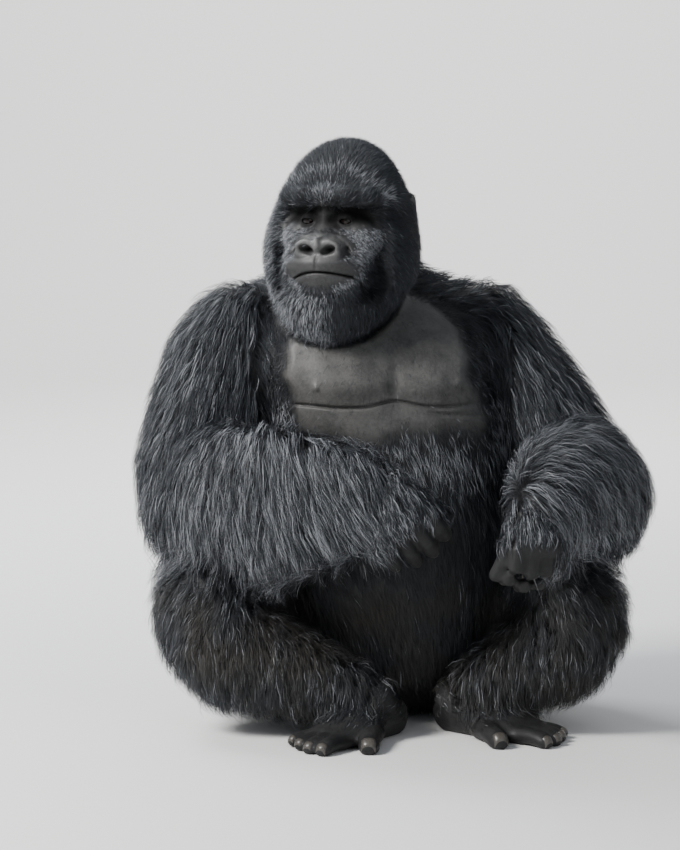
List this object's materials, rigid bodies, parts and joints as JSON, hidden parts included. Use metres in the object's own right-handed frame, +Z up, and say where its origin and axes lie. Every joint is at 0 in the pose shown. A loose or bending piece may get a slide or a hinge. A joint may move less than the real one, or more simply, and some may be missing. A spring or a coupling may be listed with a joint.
{
  "type": "gorilla",
  "caption": "Life-size museum model of a silverback mountain gorilla, seated with bent knees and both forearms resting in front of its belly.",
  "frame": {"origin": "middle of the box round the whole animal, at the level of the floor that it sits on", "axes": "+Z up from the floor; the animal faces -Y; its left side is towards +X"},
  "size_m": [0.97, 0.7826, 1.089],
  "materials": {
    "eyes": "wet, deep brown",
    "coat": "long black hair with a blue-grey sheen",
    "bare_skin": "dark grey, finely wrinkled, softly glossy"
  },
  "bodies": {
    "root": {"eye_right": "eyes", "eye_left": "eyes", "neck": "coat", "head": "coat", "rump": "coat", "belly": "coat", "chest": "bare_skin", "ear_right": "bare_skin", "ear_left": "bare_skin", "thigh_right": "coat", "thigh_left": "coat", "lower_leg_right": "coat", "lower_leg_left": "coat", "foot_right": "bare_skin", "foot_left": "bare_skin", "upper_arm_right": "coat", "upper_arm_left": "coat", "forearm_right": "coat", "forearm_left": "coat", "hand_right": "bare_skin", "hand_left": "bare_skin"}
  },
  "joints": []
}
